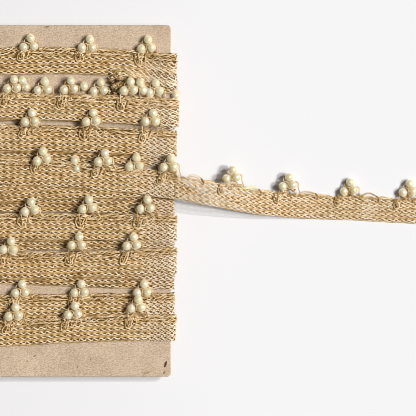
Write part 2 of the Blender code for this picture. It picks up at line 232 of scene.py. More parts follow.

# Backs of the loops: their two edges, where the looped side fades, the line that they close towards,
# their lower and upper levels, and the painted shade of a section's six corners, darkest on the looped
# side
GROUND_LOW = 0.25
GROUND_TOP = 11.9
TAIL_GROUND_TOP = 10.0
GROUND_FADE = (8.5, 9.1)
GROUND_MIDDLE = 5.0
GROUND_LEVELS = (0.10, 0.34)
GROUND_SHADES = (0.38, 0.30, 0.30, 0.28, 0.38, 0.38)
GROUND_STEP = 2.4
# Painted light on the loose end's backs, where light passes through them
TAIL_GROUND_PAINTED_LIGHT = 0.14
# The loose end's backs open over the first length, and close again from the second over the third
TAIL_OPENING = 11.0
TAIL_OPEN = 18.0
TAIL_CLOSING = 28.0
TAIL_CLOSED = 1.02
TAIL_CLOSED_AGAIN = 0.98

# Threads of a cluster: the places that each goes by, and how far right, up and outwards of them
CLUSTER_THREADS = (
    (
        ("foot", 0, 0, 0),
        ("low", -0.9, -2.0, -0.4),
        ("low", 0, -0.4, 0.5),
        ("heart", 0, 0, 0),
        ("top_right", 0.5, 0, 0.7),
        ("right", PEARL_RADIUS + 0.25, 0.9, 0.2),
        ("right", PEARL_RADIUS + 0.5, -1.6, -0.5),
        ("anchor", 0, 0, 0),
    ),
    (
        ("foot", 0, 0, 0.1),
        ("left", -PEARL_RADIUS * 0.75, -1.9, -0.2),
        ("left", -PEARL_RADIUS - 0.2, -0.1, 0),
        ("top_left", -1.0, 0, 0.4),
        ("heart", 0, 0, -0.1),
    ),
    (
        ("heart", 0, 0, 0),
        ("top_left", 0, 0, 0.9),
        ("top_left", -1.3, 0.4, 0),
        ("top", -PEARL_RADIUS - 0.1, 0.5, -0.4),
    ),
    (
        ("heart", 0, 0, 0),
        ("low", 0, -1.0, 0.6),
        ("right", 0, -PEARL_RADIUS - 0.4, -0.3),
        ("anchor", -1.6, 0, 0.3),
    ),
)
HEART_OUT = 0.7

# Ties of a cluster: its foot's distance before it and place across the band, its anchor's distance
# after it, and the radius and shades of its threads
Ties = namedtuple("Ties", "foot_before foot_across anchor_after thread_radius shades")
WOUND_TIES = Ties(4.3, 9.6, 5.6, 0.25, (0.52, 0.82))
TAIL_TIES = Ties(5.6, 9.8, 6.0, 0.26, (0.48, 0.70))
FOOT_LEVEL = 1.4
ANCHOR_LEVEL = 0.9
PETAL_ACROSS = 8.0
TAIL_PETAL_ACROSS = 8.2
WOUND_PETAL_SIZE = 1.15
STROKES_ACROSS = 8.8
# A foot's loop: its lean, where it starts and ends in half turns, its half height and half width, how
# far it strays, its points, and its thread's radius and sides
PETAL_LEAN = (-0.35, 0.25)
PETAL_LOOP = ((0.15, 0.95), (1.85, 2.15))
PETAL_TALL = (1.7, 2.3)
PETAL_WIDE = (1.1, 1.7)
PETAL_STRAY = 0.12
PETAL_POINTS = 13
PETAL_THREAD = (0.29, 5)
# Painted shadow, a dark thread round its left: where it starts and ends, how far out it is, its points,
# and its radius, sides and shade
SHADOW_LOOP = ((1.0, 1.2), (1.6, 1.85))
SHADOW_OUT = 0.5
SHADOW_POINTS = 8
SHADOW_THREAD = (0.22, 4, 0.22)
# Strands inside a foot: along from its middle, and shade. The dark left one is a painted shadow
PETAL_STRANDS = ((-0.7, 0.24), (0.45, 0.66))
# Strands from a foot towards its pearls: along from the foot, level and shade. The dark middle one is
# painted shade
FOOT_STROKES = ((1.9, 1.1, 0.78), (2.6, 1.0, 0.26), (3.3, 1.1, 0.70))
# Knotted thread below a cluster: along from it, across the band, strokes and shades
WOUND_TANGLES = ((0.4, 10.8, 7, (0.5, 1.0)),)
TAIL_TANGLES = ((-1.2, 11.1, 12, (0.40, 0.90)), (2.4, 11.0, 9, (0.40, 0.90)))
# Thread ends at the start of the trim: along from it, strokes and shades, first bright and then dark
# The dark ones are painted shade in the hollows of the frayed start
START_TANGLES = (((1.0, 5.0), 12, (0.30, 0.88)), ((-1.0, 2.0), 7, (0.0, 0.15)))

# Open chain between the loose end's clusters: the line that its two arcs rise from, the knot between
# them, its end, and how far they rise
ARC_LINE = KNIT_TOP + 0.2
ARC_KNOT = 7.6
ARC_END = 13.2
ARC_RISES = (2.1, 1.1)
ARC_SHORTEST = 2.0
ARC_STEPS = 12
ARC_SIDES = 6
# Where the chain before the first cluster starts along the loose end
FIRST_ARC = 6.2
# The knot: along, across and level
KNOT = ((-0.9, 1.2, 0.9), (-0.2, 0.6, 1.3), (0.5, -0.2, 1.4), (0.2, -1.2, 1.3), (-0.4, -1.6, 1.0))

# How fine a run is: steps a stitch and sides of its heads and of its laid-in yarns, and millimetres a
# step of its chains, which have as many sides as the laid-in yarns
Finish = namedtuple("Finish", "head_steps head_sides inlay_steps inlay_sides chain_step")
FINE = Finish(10, 5, 4, 4, 0.62)
PLAIN = Finish(6, 4, 3, 3, 1.0)
COARSE = Finish(6, 3, 2, 3, 1.3)

# Knitted pieces of the winding. The first eight runs behind the card are in back_a
KNIT_PIECES = ("upper", "lower", "under", "back_a", "back_b")
BACK_SPLIT = 8

# Mapping of a run round the card's rounded side
REACH = CARD_WIDTH / 2 - BEND_CENTRE_INSET
BEND_RADIUS = 2.6
BEND = math.pi / 2 * BEND_RADIUS
FLAT = 2 * REACH
RUN_LENGTH = 2 * BEND + FLAT
LAST_RUN_LENGTH = BEND + REACH + CARD_WIDTH / 2 + TAIL_START
# How much wider the uppermost band spreads at the card's right side, and over which part of the card
FAN = 4.6
FAN_FROM = 0.78
FAN_OVER = 0.24
FAN_ROWS_LENGTH = 0.2 * FLAT

# A run: its turn, 1 before the card or -1 behind it, its lower edge's height, its pairs of lifts at
# the card's first edge, along it and at the second, and how much wider it spreads
Run = namedtuple(
    "Run",
    "name side height lifts fan piece finish start end straight_on",
    defaults=(0.0, RUN_LENGTH, False),
)

# A line that starts so nearly upright carries another direction than upright along it
NEARLY_ALONG = 0.9


def smoothstep(value):
    value = np.clip(value, 0.0, 1.0)
    return value * value * (3 - 2 * value)


def through(heights, fraction):
    """The cubic that passes through four heights, at fractions 0, 1/3, 2/3 and 1."""
    stations = (0.0, 1 / 3, 2 / 3, 1.0)
    total = 0.0
    for i, height in enumerate(heights):
        weight = 1.0
        for j, station in enumerate(stations):
            if i != j:
                weight = weight * (fraction - station) / (stations[i] - station)
        total = total + weight * height
    return total


def between(ends, fraction):
    return ends[0] + (ends[1] - ends[0]) * smoothstep(fraction)


def lift_between(fraction, before, along, after):
    """A lift that changes to its neighbours' only round the card's two edges."""
    lift = before + (along - before) * smoothstep(fraction / LIFT_BLEND)
    late = after + (along - after) * smoothstep((1 - fraction) / LIFT_BLEND)
    return np.where(fraction > 0.5, late, lift)


def middle(first, second):
    return tuple((a + b) / 2 for a, b in zip(first, second))


def front_piece(name):
    """The piece that a turn's run before the card is in, and how fine it is."""
    if name in UNDER_TURNS:
        return "under", PLAIN
    if name in UPPER_TURNS:
        return "upper", FINE
    return "lower", FINE


def make_runs():
    """Every pass of the trim, before and behind the card, in winding order."""
    runs = []
    for i, turn in enumerate(TURNS):
        here = (turn.looped_lift, turn.lower_lift)
        behind = (turn.back_lift,) * 2
        before = (TURNS[i - 1].back_lift,) * 2 if i else here
        last = turn is TURNS[-1]
        piece, finish = front_piece(turn.name)
        fan = FAN if turn.name == FANNED_TURN else 0.0
        runs.append(
            Run(
                name=turn.name,
                side=1,
                height=partial(through, turn.heights),
                lifts=(middle(before, here), here, here if last else middle(here, behind)),
                fan=fan,
                piece=piece,
                finish=finish,
                start=0.0 if i else BEND + START_FRACTION * FLAT,
                end=LAST_RUN_LENGTH if last else RUN_LENGTH,
                straight_on=last,
            )
        )
        if last:
            break
        following = TURNS[i + 1]
        after = (following.looped_lift, following.lower_lift)
        runs.append(
            Run(
                name=turn.name,
                side=-1,
                height=partial(between, (turn.heights[-1], following.heights[0])),
                lifts=(middle(here, behind), behind, middle(behind, after)),
                fan=fan,
                piece="back_a" if i < BACK_SPLIT else "back_b",
                finish=COARSE,
            )
        )
    return runs


def lay(run, along, across, out):
    """Points on a wound run, and the directions out of the card there."""
    along, across, out = np.broadcast_arrays(along, across, out)
    turned = np.clip(along / BEND_RADIUS, 0, math.pi / 2)
    x = -REACH + np.clip(along - BEND, 0, None)
    if not run.straight_on:
        x = np.minimum(x, REACH)
        turned = turned + np.clip((along - BEND - FLAT) / BEND_RADIUS, 0, math.pi / 2)
    fraction = (x + REACH) / FLAT
    out_x, out_z = -np.cos(turned), np.sin(turned)
    toward_right = fraction if run.side > 0 else 1 - fraction
    spread = run.fan * smoothstep((toward_right - FAN_FROM) / FAN_OVER)
    share = np.clip(across / BAND_WIDTH, 0, 1)
    looped, lower = (lift_between(fraction, *(lift[edge] for lift in run.lifts)) for edge in (0, 1))
    radius = CARD_THICK / 2 + lower + (looped - lower) * share + out
    points = np.stack(
        [
            CARD_X + run.side * (x + out_x * radius),
            run.height(fraction) - spread + across * (1 + spread / BAND_WIDTH),
            CARD_MIDDLE_Z + run.side * out_z * radius,
        ],
        axis=-1,
    )
    ups = np.stack([run.side * out_x, np.zeros_like(x), run.side * out_z], axis=-1)
    return points, ups


def smooth_path(across):
    """Lower edge height and underside of the loose end, by a monotone cubic through its path."""
    table = np.array(TAIL_PATH)
    x, values = table[:, 0], table[:, 1:]
    steps = np.diff(x)
    slopes = np.diff(values, axis=0) / steps[:, None]
    tangents = np.zeros_like(values)
    tangents[0], tangents[-1] = slopes[0], slopes[-1]
    both = slopes[:-1] * slopes[1:] > 0
    total = np.where(both, slopes[:-1] + slopes[1:], 1.0)
    tangents[1:-1] = np.where(both, 2 * slopes[:-1] * slopes[1:] / total, 0.0)
    i = np.clip(np.searchsorted(x, across) - 1, 0, len(steps) - 1)
    t = ((across - x[i]) / steps[i])[..., None]
    step = steps[i][..., None]
    return (
        (1 + 2 * t) * (1 - t) ** 2 * values[i]
        + t * (1 - t) ** 2 * step * tangents[i]
        + t * t * (3 - 2 * t) * values[i + 1]
        + t * t * (t - 1) * step * tangents[i + 1]
    )


def lengths_along(line):
    """How far along a line each of its points is."""
    return np.concatenate([[0.0], np.cumsum(np.linalg.norm(np.diff(line, axis=0), axis=1))])


TAIL_X = np.linspace(TAIL_PATH[0][0], TAIL_END, TAIL_SAMPLES)
TAIL_LINE = np.column_stack([TAIL_X, smooth_path(TAIL_X)])
TAIL_ALONG = lengths_along(TAIL_LINE)
TAIL_LENGTH = float(TAIL_ALONG[-1])


def lay_tail(along, across, out):
    """Points on the loose end, and the directions out of its face there."""
    along, across, out = np.broadcast_arrays(along, across, out)
    x, height, level = (np.interp(along, TAIL_ALONG, TAIL_LINE[:, k]) for k in range(3))
    rise = np.interp(along, TAIL_ALONG, np.gradient(TAIL_LINE[:, 2], TAIL_X))
    flat = 1 / np.sqrt(1 + rise * rise)
    ups = np.stack([-rise * flat, np.zeros_like(x), flat], axis=-1)
    last = TURNS[-1]
    share = np.clip(across / BAND_WIDTH, 0, 1)
    card_level = CARD_TOP + last.lower_lift + (last.looped_lift - last.lower_lift) * share
    settle = (card_level - TAIL_PATH[0][2]) * (1 - smoothstep(along / TAIL_JOIN))
    points = np.stack([x, height + across, level + settle], axis=-1) + ups * out[..., None]
    return points, ups


def unit(vectors):
    """Vectors made one long. One without a length stays as it is."""
    return vectors / (np.linalg.norm(vectors, axis=1)[:, None] + 1e-12)


def faces_round(rows, around, first=0):
    """The faces between rows of points that each close round."""
    i = first + np.arange(rows - 1)[:, None] * around
    j = np.arange(around)[None]
    n = (j + 1) % around
    return np.stack([i + j, i + around + j, i + around + n, i + n], axis=-1).reshape(-1, 4)


def add_object(name, data):
    obj = bpy.data.objects.new(name, data)
    bpy.context.scene.collection.objects.link(obj)
    return obj


class Mesh:
    """Gathers tubes, balls and strips, in millimetres, into one mesh."""

    def __init__(self):
        self.points, self.marks, self.corners, self.sizes = [], [], [], []
        self.count = 0

    def add(self, points, faces, marks):
        """Points with their marks, and arrays of faces that each hold faces of one size."""
        self.points.append(points.reshape(-1, 3))
        self.marks.append(marks.reshape(-1, 3))
        for group in faces:
            self.corners.append(group.reshape(-1) + self.count)
            self.sizes.append(np.full(len(group), group.shape[1]))
        self.count += len(self.points[-1])

    def tube(self, line, ups, radius, sides, shade, flatness=1.0):
        """A tube along a line. Marks hold the place round it, the place along it and its shade."""
        count = len(line)
        tangents = unit(np.gradient(line, axis=0))
        sideways = unit(np.cross(ups, tangents))
        normals = np.cross(tangents, sideways)
        ends = np.arange(sides)
        angle = (2 * np.pi * ends / sides + np.pi / 2)[:, None]
        radius = np.broadcast_to(radius, count)[:, None, None]
        ring = np.cos(angle) * sideways[:, None] + np.sin(angle) * normals[:, None] * flatness
        marks = np.zeros((count, sides, 3))
        marks[..., 0] = ends / sides
        marks[..., 1] = lengths_along(line)[:, None] / MARK_LENGTH
        marks[..., 2] = np.broadcast_to(shade, count)[:, None]
        faces = faces_round(count, sides)[:, (0, 3, 2, 1)]
        caps = np.stack([ends[::-1], ends + (count - 1) * sides])
        self.add(line[:, None] + ring * radius, [faces, caps], marks)

    def ball(self, centre, radius, segments, rings, tilt):
        """A round bead that is tilted about X. Its lacquer reads no marks."""
        theta = (np.pi * np.arange(1, rings) / rings)[:, None]
        phi = 2 * np.pi * np.arange(segments) / segments
        wide, high = np.sin(theta), np.cos(theta)
        body = np.stack([wide * np.cos(phi), wide * np.sin(phi), high + 0 * phi], axis=-1)
        points = np.vstack([[0, 0, 1.0], body.reshape(-1, 3), [0, 0, -1.0]])
        cos, sin = math.cos(tilt), math.sin(tilt)
        turned = points @ np.array([[1, 0, 0], [0, cos, sin], [0, -sin, cos]])
        k = np.arange(segments)
        n = (k + 1) % segments
        top = np.stack([np.zeros_like(k), 1 + k, 1 + n], axis=-1)
        low = 1 + (rings - 2) * segments
        bottom = np.stack([low + n, low + k, np.full_like(k, low + segments)], axis=-1)
        faces = [np.vstack([top, bottom]), faces_round(rings - 1, segments, 1)]
        self.add(np.array(centre) + turned * radius, faces, np.ones_like(points))

    def strip(self, grid, shades):
        """A closed strip from rows of corners, which are shaded in turn."""
        count, around = grid.shape[:2]
        ends = np.arange(around)
        caps = np.stack([ends, ends[::-1] + (count - 1) * around])
        marks = np.zeros((count, around, 3))
        marks[..., 1] = np.arange(count)[:, None]
        marks[..., 2] = shades
        self.add(grid, [faces_round(count, around), caps], marks)

    def build(self, name, material, slot):
        """The object, which rides on the part's one body."""
        points = np.vstack(self.points) * MM
        corners, sizes = (np.concatenate(part).astype(np.int32) for part in (self.corners, self.sizes))
        starts = np.concatenate([[0], np.cumsum(sizes)[:-1]]).astype(np.int32)
        mesh = bpy.data.meshes.new(name)
        mesh.vertices.add(len(points))
        mesh.vertices.foreach_set("co", points.astype(np.float32).ravel())
        mesh.loops.add(len(corners))
        mesh.loops.foreach_set("vertex_index", corners)
        mesh.polygons.add(len(sizes))
        mesh.polygons.foreach_set("loop_start", starts)
        mesh.update(calc_edges=True)
        mesh.shade_smooth()
        marks = mesh.attributes.new("marks", "FLOAT_VECTOR", "POINT")
        marks.data.foreach_set("vector", np.vstack(self.marks).astype(np.float32).ravel())
        mesh.materials.append(material)
        obj = add_object(name, mesh)
        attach(obj, "root")
        return obj


def wander(random, places, spread):
    """A smooth random offset at places along a line, from one draw a unit with the given spread."""
    count = int(math.ceil(places.max())) + 2
    return np.interp(places, np.arange(count), random.normal(0, spread, count))


def knit_rows(mesh, place, rows, start, end, finish, random, slants, stitch, painted_light):
    """The even rows of one stretch of band. Painted light is how much lighter its yarn is painted along
    the way.
    """
    stitches = max(round((end - start) / stitch), 1)
    pitch = (end - start) / stitches
    t = np.linspace(0, stitches, stitches * finish.head_steps + 1)
    coarse = np.linspace(0, stitches, stitches * finish.inlay_steps + 1)
    painted_brightness = painted_light(coarse / stitches)
    ease = np.clip(np.minimum(t, stitches - t), 0, 1)
    shared = wander(random, t, 0.10) * ease
    drift = wander(random, t / 4, 0.12) * ease
    slant = np.interp(t, (0, stitches), slants) * (1 + wander(random, t, 0.3))
    for centre in rows:
        own = random.uniform(-0.2, 0.2)
        phase = 2 * np.pi * (t + own)
        wave = np.tanh(-HEAD_SQUARENESS * np.cos(phase)) / math.tanh(HEAD_SQUARENESS)
        falling = -np.sin(phase)
        along = start + t * pitch - slant * pitch / 4 * wave * ease
        along = along + shared + wander(random, t, 0.08) * ease
        swing = ROW_SWING * (1 + wander(random, t, 0.16))
        across = centre + drift + wander(random, t, 0.08) * ease + swing * wave
        level = HEAD_LEVEL + HEAD_DIP * falling + wander(random, t, 0.05) * ease
        # Painted light on the falling slopes, painted shade on the rising ones, and painted light along
        # the way
        shade = HEAD_SHADE + HEAD_SHADE_SWING * falling + wander(random, 2 * t, 0.12)
        shade = shade + HEAD_PAINTED_LIGHT * painted_light(t / stitches)
        mesh.tube(*place(along, across, level), HEAD_RADIUS, finish.head_sides, shade, HEAD_FLATNESS)
        for offset in INLAYS:
            phase = 2 * np.pi * (coarse + own + random.uniform(-0.1, 0.1))
            ripple = INLAY_RIPPLE * offset * painted_brightness * np.cos(4 * np.pi * coarse)
            across = centre + offset + np.interp(coarse, t, drift) + INLAY_SWING * np.cos(phase)
            across = across + wander(random, coarse, 0.07) + ripple
            level = INLAY_LEVEL + wander(random, coarse, 0.07)
            # Painted shade, rippling along the laid-in yarn, and painted light along the way
            shade = INLAY_SHADE - INLAY_SHADE_SWING * np.sin(phase + 0.6)
            shade = shade + wander(random, coarse, 0.08) + painted_brightness
            radius = INLAY_RADIUS - INLAY_THINNING * painted_brightness
            mesh.tube(*place(start + coarse * pitch, across, level), radius, finish.inlay_sides, shade)


def painted_edge_light(fraction):
    """Painted light on the yarn round the card's right side, where it faces the lamps."""
    return EDGE_PAINTED_LIGHT * smoothstep((fraction - EDGE_PAINTED_LIGHT_FROM) / EDGE_PAINTED_LIGHT_OVER)


def painted_tail_light(fraction):
    """Painted light on the loose end, where light passes through it, most of all where it is high above
    the surface.
    """
    return TAIL_PAINTED_LIGHT + TAIL_PAINTED_LIGHT_RAISED * smoothstep((TAIL_PAINTED_LIGHT_TO - fraction) / TAIL_PAINTED_LIGHT_OVER)


def tail_closed(along):
    """How far its backs close the loose end's knit, which lets light through where it is raised."""
    closing = smoothstep((along - TAIL_OPEN) / TAIL_CLOSING)
    return TAIL_CLOSED - smoothstep(along / TAIL_OPENING) + TAIL_CLOSED_AGAIN * closing


def looped_edge(mesh, place, chains, fillers, start, end, finish, random):
    """Slack chains along the looped edge, whose two strands cross without order."""
    sides = finish.inlay_sides
    t = np.linspace(0, end - start, max(round((end - start) / finish.chain_step), 2) + 1)
    for centre in chains:
        turn = np.pi * t / CHAIN_CROSSING + wander(random, t / 3.0, 0.9)
        opening = CHAIN_OPENING * (0.75 + wander(random, t / 2.5, 0.35))
        middle_line = centre + wander(random, t / 2.2, 0.20)
        for sign in (-1, 1):
            across = middle_line + sign * opening * np.sin(turn) + wander(random, t / 1.3, 0.10)
            level = CHAIN_LEVEL + sign * CHAIN_LIFT * np.cos(turn) + wander(random, t / 1.4, 0.12)
            # Painted shade where the strand dips under the other
            shade = CHAIN_SHADE + 0.10 * sign * np.cos(turn) + wander(random, t / 1.2, 0.15)
            mesh.tube(*place(start + t, across, level), CHAIN_RADIUS, sides, shade)
    for centre in fillers:
        waver = FILLER_SWING * np.sin(FILLER_RATE * t + wander(random, t / 2.0, 1.2))
        across = centre + waver + wander(random, t / 1.5, 0.22)
        level = FILLER_LEVEL + wander(random, t / 1.3, 0.16)
        shade = FILLER_SHADE + wander(random, t / 1.3, 0.14)
        mesh.tube(*place(start + t, across, level), CHAIN_RADIUS, sides, shade)


def ground_strip(mesh, place, start, end, random, painted_light=0.0, top=GROUND_TOP, closed=np.ones_like):
    """The dense backs of the loops, in painted shade, which close the knit from below. Its looped side
    is ragged.
    """
    count = max(round((end - start) / GROUND_STEP), 2) + 1
    along = np.linspace(start, end, count)
    ragged = top + wander(random, (along - start) / 3.0, 0.35)
    low, ragged, inner, outer = (
        GROUND_MIDDLE + (edge - GROUND_MIDDLE) * closed(along)
        for edge in (GROUND_LOW, ragged, *GROUND_FADE)
    )
    under, over = GROUND_LEVELS
    section = ((low, under), (ragged, under), (ragged, over), (outer, over), (inner, over), (low, over))
    rows = [place(along, across, level)[0] for across, level in section]
    mesh.strip(np.stack(rows, axis=1), np.array(GROUND_SHADES) + painted_light)


def smooth_line(controls, steps):
    """A Catmull-Rom curve through control points."""
    p = np.array(controls, dtype=float)
    p = np.vstack([2 * p[0] - p[1], p, 2 * p[-1] - p[-2]])
    t = np.linspace(0, 1, steps, endpoint=False)[:, None]
    parts = []
    for a, b, c, d in zip(p[:-3], p[1:-2], p[2:-1], p[3:]):
        second = 2 * a - 5 * b + 4 * c - d
        third = 3 * b - a - 3 * c + d
        parts.append(0.5 * (2 * b + (c - a) * t + second * t**2 + third * t**3))
    return np.vstack([*parts, p[-2:-1]])


def carried_ups(line):
    """Directions square to a line that turn as little as possible along it."""
    tangents = unit(np.gradient(line, axis=0))
    up = np.array([0.0, 0.0, 1.0])
    if abs(tangents[0] @ up) > NEARLY_ALONG:
        up = np.array([0.0, 1.0, 0.0])
    ups = []
    for tangent in tangents:
        up = up - (up @ tangent) * tangent
        up = up / np.linalg.norm(up)
        ups.append(up)
    return np.array(ups)


def thread(mesh, controls, radius, steps, sides, shade):
    """A thin tube on a smooth curve. Steps are those from one control point to the next."""
    line = smooth_line(controls, steps)
    mesh.tube(line, carried_ups(line), radius, sides, shade)


def pearl_centres(middle_x, middle_y, level, lean):
    angle = math.radians(lean)
    cos, sin = math.cos(angle), math.sin(angle)
    return np.array(
        [
            (middle_x + dx * cos - dy * sin, middle_y + dx * sin + dy * cos, level)
            for dx, dy in PEARL_OFFSETS
        ]
    )


def cluster(pearls, threads, centres, foot, anchor, side, random, ties):
    """Three pearls, and the threads that tie them to their foot and to their anchor."""
    ball, tube = (FINE_BALL, FINE_THREAD) if side > 0 else (COARSE_BALL, COARSE_THREAD)
    for centre in centres:
        size = PEARL_RADIUS * (1 + random.normal(0, 0.015))
        tilt = random.uniform(0, math.pi)
        pearls.ball(centre, size, *ball, tilt)
    left, right, top = centres
    facing = np.array([side, 1.0, side])
    places = {
        "foot": foot,
        "anchor": anchor,
        "left": left,
        "right": right,
        "top": top,
        "low": (left + right) / 2,
        "top_left": (left + top) / 2,
        "top_right": (top + right) / 2,
        "heart": centres.mean(axis=0) + facing * (0, 0, HEART_OUT),
    }
    for path in CLUSTER_THREADS:
        controls = [places[name] + facing * offset for name, *offset in path]
        thread(threads, controls, ties.thread_radius, *tube, random.uniform(*ties.shades))


def tied_cluster(pearls, threads, place, along, centres, side, random, ties):
    """A cluster tied to its band. Returns how far along the band its foot is."""
    foot_at = along - ties.foot_before
    foot = place(foot_at, ties.foot_across, FOOT_LEVEL)[0]
    anchor = place(along + ties.anchor_after, KNIT_TOP, ANCHOR_LEVEL)[0]
    cluster(pearls, threads, centres, foot, anchor, side, random, ties)
    return foot_at


def petal(mesh, place, along, across, random, size=1.0):
    """The knotted foot of a cluster: a leaf-shaped loop with strands in it, and a painted shadow on its
    left.
    """
    lean = random.uniform(*PETAL_LEAN)
    begin, finish = (random.uniform(*reach) for reach in PETAL_LOOP)
    loop = np.linspace(begin, finish, PETAL_POINTS) * np.pi
    tall, wide = size * random.uniform(*PETAL_TALL), size * random.uniform(*PETAL_WIDE)
    v = tall * np.cos(loop) + random.normal(0, PETAL_STRAY, PETAL_POINTS)
    leaf = wide * np.sin(loop) * (1 - 0.25 * np.cos(loop))
    a = along + leaf + lean * v + random.normal(0, PETAL_STRAY, PETAL_POINTS)
    shades = 0.74 + 0.14 * np.sin(loop) + random.normal(0, 0.08, PETAL_POINTS)
    mesh.tube(*place(a, across + v, 1.25), *PETAL_THREAD, shades)
    begin, finish = (random.uniform(*reach) for reach in SHADOW_LOOP)
    shadow = np.linspace(begin, finish, SHADOW_POINTS) * np.pi
    v = (tall + SHADOW_OUT) * np.cos(shadow)
    a = along + (wide + SHADOW_OUT) * np.sin(shadow) + lean * v
    mesh.tube(*place(a, across + v, 1.0), *SHADOW_THREAD)
    for shift, shade in PETAL_STRANDS:
        v = np.linspace(-1.3, 2.4, 7) * size
        a = along + size * shift + (lean + shift * 0.4) * v + random.normal(0, 0.16, 7)
        strand = place(a, across + v, 1.15 + 0.1 * np.cos(v))
        mesh.tube(*strand, 0.25, 5, shade + random.normal(0, 0.10, 7))


def foot_strokes(mesh, place, along, across, random):
    """Strands that run from a foot on the card up towards its pearls."""
    for shift, level, shade in FOOT_STROKES:
        v = np.linspace(-1.3, 2.2, 6) + random.normal(0, 0.25, 6)
        a = along + shift + 0.35 * v + random.normal(0, 0.3, 6)
        controls = place(a, across + v, level + random.normal(0, 0.12, 6))[0]
        thread(mesh, controls, random.uniform(0.24, 0.32), 3, 5, shade + random.normal(0, 0.05))


def tangle(mesh, place, along, across, random, count, shades):
    """Knotted thread below a cluster, in short crossing strokes."""
    for _ in range(count):
        a = along + random.normal(0, 1.5) + np.cumsum(random.normal(0, 0.75, 4))
        v = across + random.normal(0, 0.6) + np.cumsum(random.normal(0, 0.4, 4))
        controls = place(a, v, random.uniform(0.8, 1.8, 4))[0]
        thread(mesh, controls, random.uniform(0.22, 0.31), 3, 4, random.uniform(*shades))


def tangles(mesh, place, along, random, table):
    """Every tangle of a cluster, from a table of them."""
    for shift, across, count, shades in table:
        tangle(mesh, place, along + shift, across, random, count, shades)


def edge_arcs(mesh, place, at, end, random):
    """The open chain along the looped edge between one cluster's anchor and the next foot."""
    knot = at + ARC_KNOT
    spans = ((at, knot), (knot, min(at + ARC_END, end)))
    s = np.linspace(0, 1, ARC_STEPS + 1)
    for (begin, finish), rise in zip(spans, ARC_RISES):
        if finish - begin < ARC_SHORTEST:
            continue
        for share in (1.0, 0.5):
            bow = np.sin(np.pi * s) ** 0.6 * rise * share * (1 + random.normal(0, 0.12))
            a = begin + (finish - begin) * s
            arc = place(a, ARC_LINE + bow, 0.75 + 0.2 * np.sin(np.pi * s))
            mesh.tube(*arc, 0.27, ARC_SIDES, 0.84 + wander(random, 4 * s, 0.12))
    shape = np.array(KNOT)
    mesh.tube(*place(knot + shape[:, 0], ARC_LINE + shape[:, 1], shape[:, 2]), 0.38, ARC_SIDES, 0.55)


def frayed_start(threads, place, start, random):
    """The frayed start of the trim: thread ends all the way across it, bright ones, and dark ones as
    painted shade.
    """
    for across in range(-1, 11, 2):
        for reach, count, shades in START_TANGLES:
            at = start + random.uniform(*reach)
            tangle(threads, place, at, across, random, count, shades)


def lone_pearls(pearls, threads, random):
    """The pearls that show singly, each with two threads part of the way round it."""
    for x, y, level in LONE_PEARLS:
        centre = (x, y, CARD_TOP + level)
        pearls.ball(centre, LONE_RADIUS, *FINE_BALL, random.uniform(0, math.pi))
        for _ in range(2):
            turn = random.uniform(0, 2 * math.pi) + np.linspace(0, RING_TURN, 5)
            x_ring, y_ring = np.cos(turn) * RING_RADIUS, np.sin(turn) * RING_RADIUS
            ring = np.column_stack([x_ring, y_ring, np.full(5, RING_LEVEL)])
            thread(threads, ring + centre, 0.22, *COARSE_THREAD, random.uniform(0.5, 0.8))


def along_of(run, across_card):
    """How far along a run a place is that lies across the card from its left side."""
    x = across_card - CARD_WIDTH / 2
    return BEND + REACH + run.side * x


def front_clusters(run):
    """(across the card, pearl centres) of the clusters on a run before the card."""
    level, places = CLUSTERS.get(run.name, (0.0, ()))
    return [
        (across, pearl_centres(CARD_LEFT + across, height, CARD_TOP + level, lean))
        for across, height, lean in sorted(places)
    ]


def back_clusters(run):
    """(across the card, pearl centres) of the clusters on a run behind the card."""
    found = []
    if run.name in BACK_TURNS:
        across = BACK_FIRST + BACK_SHIFT * (BACK_TURNS.index(run.name) % BACK_SHIFTS)
        while across < CARD_WIDTH - BACK_MARGIN:
            edge = run.height(np.array(1 - across / CARD_WIDTH)) + BAND_WIDTH
            centres = pearl_centres(CARD_LEFT + across, float(edge) + BACK_RISE, PEARL_RADIUS, 0)
            found.append((across, centres))
            across += CLUSTER_PITCH
    return found


def make_wound_trim(yarn, ground, fine, pearl, random):
    """Everything of the trim that is wound on the card."""
    knits = {name: Mesh() for name in KNIT_PIECES}
    grounds, edges, pearls, threads = Mesh(), Mesh(), Mesh(), Mesh()
    for run in make_runs():
        place = partial(lay, run)
        front = run.side > 0
        slants = SLANTS[:2] if front else BACK_SLANTS
        stitch = STITCH * random.uniform(*STITCH_RANGE)
        knit = knits[run.piece]
        ends = run.start, run.end
        knit_rows(knit, place, ROWS, *ends, run.finish, random, slants, stitch, painted_edge_light)
        if front and run.fan:
            part = run.end - FAN_ROWS_LENGTH, run.end
            knit_rows(knit, place, FAN_ROWS, *part, run.finish, random, SLANTS[1:], stitch, painted_edge_light)
        looped_edge(knit, place, CHAINS, FILLERS, *ends, run.finish, random)
        ground_strip(grounds, place, *ends, random)
        clusters = front_clusters(run) if front else back_clusters(run)
        for across_card, centres in clusters:
            along = along_of(run, across_card)
            foot_at = tied_cluster(pearls, threads, place, along, centres, run.side, random, WOUND_TIES)
            if front:
                petal(edges, place, foot_at, PETAL_ACROSS, random, WOUND_PETAL_SIZE)
                foot_strokes(edges, place, foot_at, STROKES_ACROSS, random)
                tangles(threads, place, along, random, WOUND_TANGLES)
        if run.name == TURNS[0].name and front:
            frayed_start(threads, place, run.start, random)
    lone_pearls(pearls, threads, random)
    pieces = [knit.build("wound_knit_" + name, yarn, "trim") for name, knit in knits.items()]
    grounds.build("wound_ground", ground, "trim")
    edges.build("wound_edge_loops", fine, "trim")
    threads.build("wound_pearl_threads", fine, "trim")
    pearls.build("wound_pearls", pearl, "trim")
    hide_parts("wound_trim")


